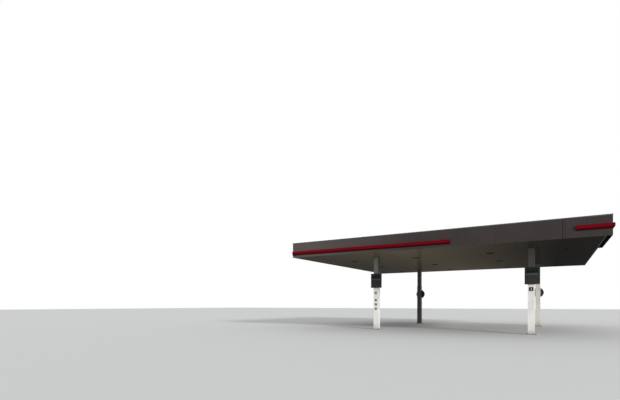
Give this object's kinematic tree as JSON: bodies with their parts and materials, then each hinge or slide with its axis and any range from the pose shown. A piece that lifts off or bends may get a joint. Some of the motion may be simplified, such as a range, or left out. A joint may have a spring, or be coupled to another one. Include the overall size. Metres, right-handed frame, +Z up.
{
  "type": "filling station canopy",
  "caption": "Flat metal filling station canopy on clad columns, with a deep boxed fascia, red light bars, a glossy soffit with recessed lights and a ribbed roof deck.",
  "frame": {"origin": "middle of the canopy's outline in plan, at ground level under the base plates", "axes": "+X along the front to the right, +Y from the front fascia to the rear, +Z up"},
  "size_m": [16.89, 15.99, 5.6],
  "materials": {
    "column_paint": "satin grey paint",
    "dark_paint": "satin anthracite paint",
    "white_panel": "satin white paint",
    "cream_panel": "satin cream paint",
    "dark_trim": "satin dark grey paint",
    "sign_sheet": "glossy translucent sheet with plain colour bands",
    "red_plastic": "satin deep red light cover",
    "dark_plastic": "matt dark plastic",
    "frame_steel": "galvanised grey",
    "soffit_panel": "high-gloss grey-brown enamel",
    "light_housing": "matt grey paint",
    "deck_sheet": "plain light grey coil coating",
    "fascia_panel": "satin grey-brown coil coating",
    "coping_sheet": "satin blue-grey coil coating"
  },
  "bodies": {
    "root": {"column_front_left": "column_paint", "column_front_right": "column_paint", "column_rear_left": "dark_paint", "column_rear_right": "column_paint", "pillar_cladding_front_left": "white_panel", "pillar_cladding_front_right": "white_panel", "pillar_cladding_rear_left": "dark_paint", "pillar_cladding_rear_right": "cream_panel", "column_collars": "soffit_panel", "sign_box_left": "dark_trim", "sign_box_right": "dark_trim", "sign_faces": "sign_sheet", "number_plate": "red_plastic", "symbol_discs": "dark_plastic", "round_sign_left": "dark_trim", "round_sign_right": "dark_trim", "main_beam_left": "frame_steel", "main_beam_right": "frame_steel", "cross_beams": "frame_steel", "edge_beams_ends": "frame_steel", "edge_beams_sides": "frame_steel", "fascia_posts": "frame_steel", "soffit_rails": "frame_steel", "soffit_left": "soffit_panel", "soffit_right": "soffit_panel", "recessed_lights": "light_housing", "roof_deck_front": "deck_sheet", "roof_deck_rear": "deck_sheet", "box_gutter": "deck_sheet", "parapet_flashing": "deck_sheet", "fascia_front": "fascia_panel", "fascia_joint_strip": "fascia_panel", "fascia_corner_front": "fascia_panel", "fascia_corner_side": "fascia_panel", "corner_underside": "dark_trim", "fascia_right": "fascia_panel", "fascia_rear": "fascia_panel", "fascia_left": "fascia_panel", "coping_front": "coping_sheet", "coping_corner": "coping_sheet", "coping_right": "coping_sheet", "coping_rear": "coping_sheet", "coping_left": "coping_sheet", "light_bar_left": "red_plastic", "light_bar_right": "red_plastic"}
  },
  "joints": []
}
